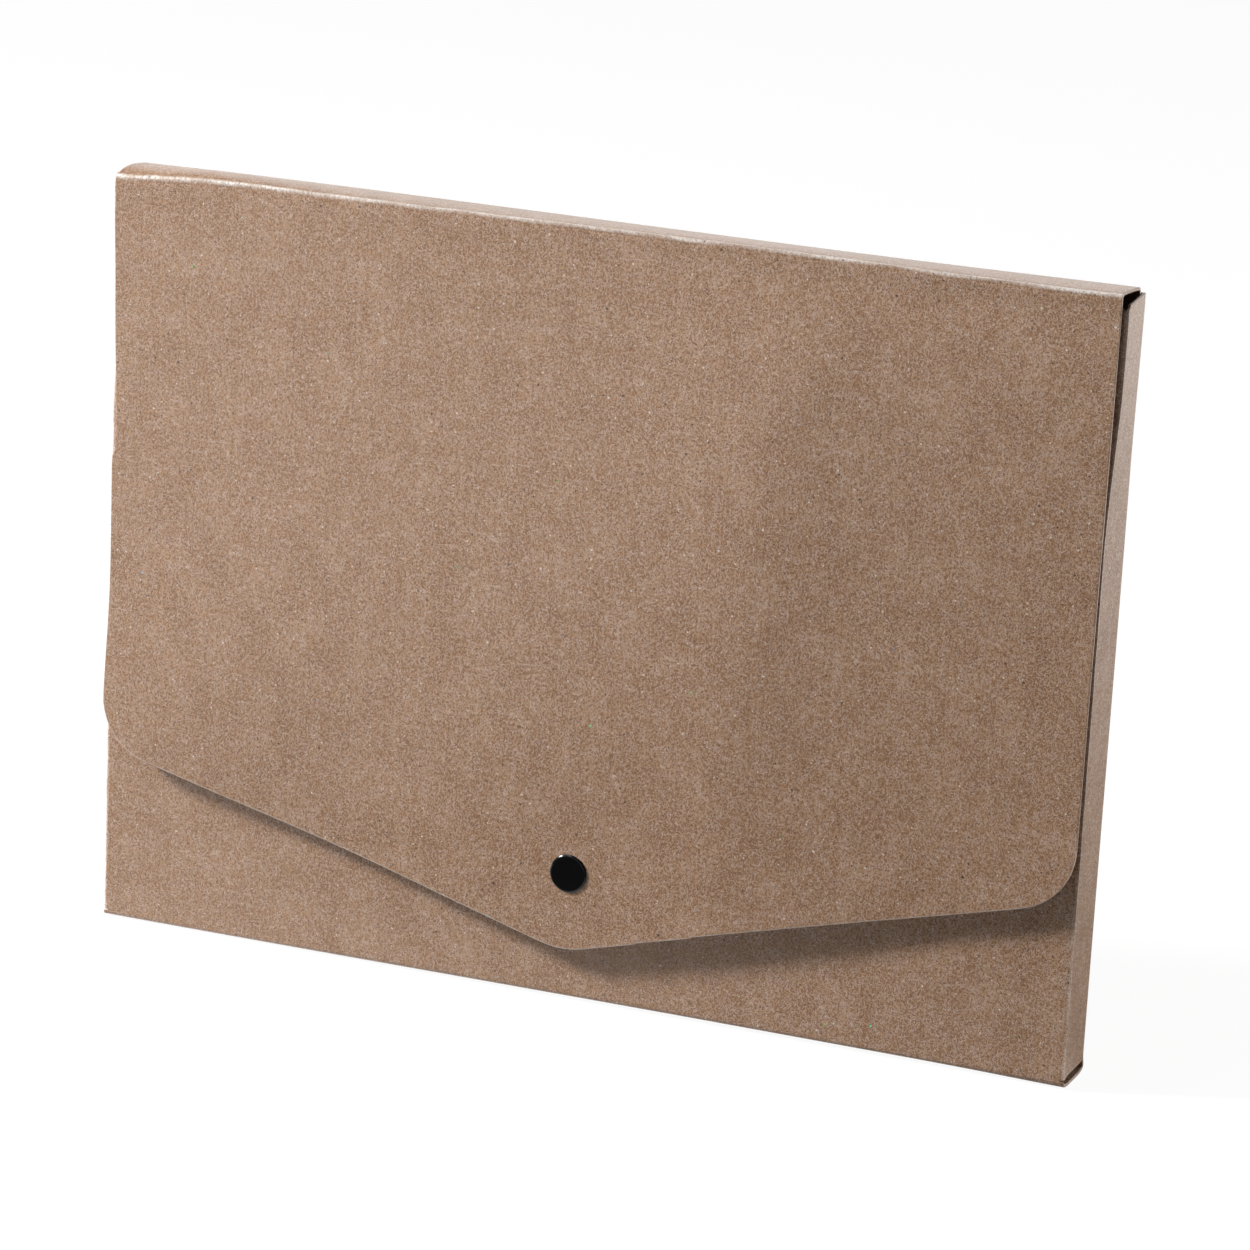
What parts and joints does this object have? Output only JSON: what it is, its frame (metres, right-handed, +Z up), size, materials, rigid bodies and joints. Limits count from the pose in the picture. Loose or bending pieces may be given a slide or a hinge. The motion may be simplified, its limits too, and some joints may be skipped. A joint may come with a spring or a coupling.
{
  "type": "snap envelope folder",
  "caption": "Standing document folder of folded kraft card: a slim pocket, a lid strip and a pointed envelope flap that fold on creases and close over the front with a round black snap.",
  "frame": {"origin": "centre of the bottom panel's underside, on the surface that the folder stands on", "axes": "+X to the right along the folder's width, +Y from the flap towards the back panel, +Z up"},
  "size_m": [0.331, 0.0264, 0.2465],
  "materials": {
    "kraft_card": "matte",
    "dried_glue": "satin",
    "black_plastic": "gloss"
  },
  "bodies": {
    "pocket": {"back_panel": "kraft_card", "bottom_panel": "kraft_card", "front_panel": "kraft_card", "left_side_panel": "kraft_card", "right_side_panel": "kraft_card", "left_glue_tab": "kraft_card", "right_glue_tab": "kraft_card", "left_glue_line": "dried_glue", "right_glue_line": "dried_glue", "snap_stud": "black_plastic", "snap_backing": "black_plastic"},
    "lid": {"lid_crease": "kraft_card", "lid_panel": "kraft_card", "flap_crease": "kraft_card"},
    "flap": {"closing_flap": "kraft_card", "snap_cap": "black_plastic", "snap_socket": "black_plastic"}
  },
  "joints": [
    {"name": "lid_fold", "type": "hinge", "parent": "pocket", "child": "lid", "pos_m": [0, 0.00914, 0.24564], "axis": [-1, 0, 0], "range_deg": [0, 175], "deforming": ["lid_crease"]},
    {"name": "flap_fold", "type": "hinge", "parent": "lid", "child": "flap", "pos_m": [0, -0.01094, 0.24564], "axis": [-1, 0, 0], "range_deg": [0, 90], "deforming": ["flap_crease"]}
  ]
}
